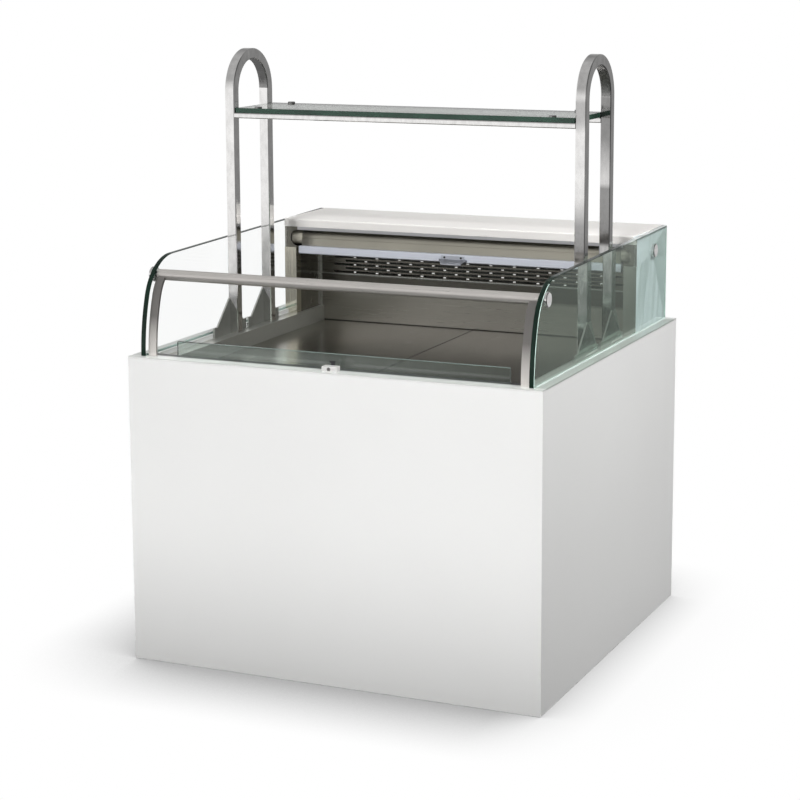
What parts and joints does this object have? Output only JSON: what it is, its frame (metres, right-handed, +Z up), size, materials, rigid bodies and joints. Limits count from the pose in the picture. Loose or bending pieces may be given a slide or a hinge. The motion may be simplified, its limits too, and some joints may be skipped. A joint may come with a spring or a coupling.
{
  "type": "refrigerated display cabinet",
  "caption": "Open-front refrigerated counter cabinet with curved side glasses, a slotted air outlet, a roller night blind and a glass shelf on inverted U frames.",
  "frame": {"origin": "on the floor, under the middle of the base cabinet", "axes": "+Z up, -Y towards the customer at the open front, +X to the customer's right"},
  "size_m": [1, 0.96, 1.3879],
  "materials": {
    "white_cladding": "satin powder coat",
    "white_hood": "satin powder coat",
    "hood_cheek_paint": "satin powder coat",
    "satin_stainless": "satin ground stainless",
    "tank_stainless": "brushed stainless",
    "polished_stainless": "mirror polished stainless",
    "side_glass": "clear toughened glass with ground arrises",
    "blind_cloth": "fine perforated metallised cloth",
    "blind_aluminium": "satin anodised",
    "roller_bracket_plastic": "moulded",
    "dark_steel": "blackened",
    "galvanised_steel": "galvanised",
    "foam": "foamed in place",
    "fin_aluminium": "mill finish",
    "motor_housing": "satin",
    "fan_plastic": "moulded",
    "compressor_paint": "gloss enamel",
    "copper": "drawn copper tube",
    "drain_plastic": "moulded",
    "foot_plastic": "moulded",
    "control_plastic": "fine texture"
  },
  "bodies": {
    "cabinet": {"air_outlet_wall": "tank_stainless", "base_frame": "galvanised_steel", "blind_sheet": "blind_cloth", "bottom_tray": "galvanised_steel", "compressor": "compressor_paint", "condenser_coil": "fin_aluminium", "condenser_fan_motor": "motor_housing", "condenser_shroud": "galvanised_steel", "control_tray": "control_plastic", "deck_frame": "satin_stainless", "drain_fitting": "drain_plastic", "drip_tray": "galvanised_steel", "evaporator_coil": "fin_aluminium", "evaporator_fan_motors": "motor_housing", "fan_plate": "galvanised_steel", "floor_supports": "galvanised_steel", "front_panel": "white_cladding", "front_rail": "satin_stainless", "glass_clamps": "polished_stainless", "hood_rear_panel": "white_hood", "hood_top": "white_hood", "left_blind_strip": "satin_stainless", "left_floor_plate": "tank_stainless", "left_hood_cheek": "hood_cheek_paint", "left_hood_post": "satin_stainless", "left_shelf_frame": "polished_stainless", "left_side_glass": "side_glass", "left_side_panel": "white_cladding", "levelling_feet": "foot_plastic", "lock_body": "polished_stainless", "mains_inlet": "control_plastic", "rear_panel": "white_cladding", "refrigerant_lines": "copper", "return_air_strip": "tank_stainless", "right_blind_strip": "satin_stainless", "right_floor_plate": "tank_stainless", "right_hood_cheek": "hood_cheek_paint", "right_hood_post": "satin_stainless", "right_shelf_frame": "polished_stainless", "right_side_glass": "side_glass", "right_side_panel": "white_cladding", "riser_channel": "satin_stainless", "riser_glass": "side_glass", "roller_brackets": "roller_bracket_plastic", "shelf_glass": "side_glass", "shelf_rails": "polished_stainless", "shelf_studs": "polished_stainless", "tank_insulation": "foam", "tank_liner": "tank_stainless"},
    "blind_bar": {"pull_bar": "blind_aluminium", "pull_handle": "polished_stainless"},
    "blind_roller": {"roller_tube": "blind_aluminium", "blind_roll": "blind_cloth"},
    "lock_barrel": {"lock_cylinder": "polished_stainless", "lock_cam": "dark_steel"},
    "left_fan_rotor": {"left_evaporator_fan": "fan_plastic"},
    "right_fan_rotor": {"right_evaporator_fan": "fan_plastic"},
    "condenser_fan_rotor": {"condenser_fan": "fan_plastic"},
    "thermostat_dial": {"thermostat_knob": "control_plastic"},
    "power_rocker": {"rocker_switch": "control_plastic"}
  },
  "joints": [
    {"name": "blind_pull", "type": "slide", "parent": "cabinet", "child": "blind_bar", "axis": [0, -1, 0], "range_m": [0, 0.61], "stiffness_N_per_m": 8, "springref_m": -0.4, "deforming": ["blind_sheet"]},
    {"name": "blind_roll_turn", "type": "hinge", "parent": "cabinet", "child": "blind_roller", "pos_m": [0, 0.268, 0.899], "axis": [1, 0, 0], "range_deg": [0, 1850]},
    {"name": "lock_turn", "type": "hinge", "parent": "cabinet", "child": "lock_barrel", "pos_m": [0, -0.4485, 0.7205], "axis": [0, 1, 0], "range_deg": [0, 90]},
    {"name": "left_fan_spin", "type": "hinge", "parent": "cabinet", "child": "left_fan_rotor", "pos_m": [-0.19, -0.2545, 0.58075], "axis": [0, 1, 0], "continuous": true},
    {"name": "right_fan_spin", "type": "hinge", "parent": "cabinet", "child": "right_fan_rotor", "pos_m": [0.19, -0.2545, 0.58075], "axis": [0, 1, 0], "continuous": true},
    {"name": "condenser_fan_spin", "type": "hinge", "parent": "cabinet", "child": "condenser_fan_rotor", "pos_m": [0.22, 0.311, 0.1815], "axis": [0, 1, 0], "continuous": true},
    {"name": "thermostat_turn", "type": "hinge", "parent": "cabinet", "child": "thermostat_dial", "pos_m": [-0.238, 0.4519, 0.38], "axis": [0, -1, 0], "range_deg": [0, 270]},
    {"name": "power_rock", "type": "hinge", "parent": "cabinet", "child": "power_rocker", "pos_m": [-0.3, 0.456, 0.38], "axis": [-1, 0, 0], "range_deg": [0, 18]}
  ],
  "couplings": [
    {"joint": "blind_roll_turn", "follows": "blind_pull", "rad_per_m": 52.632}
  ]
}
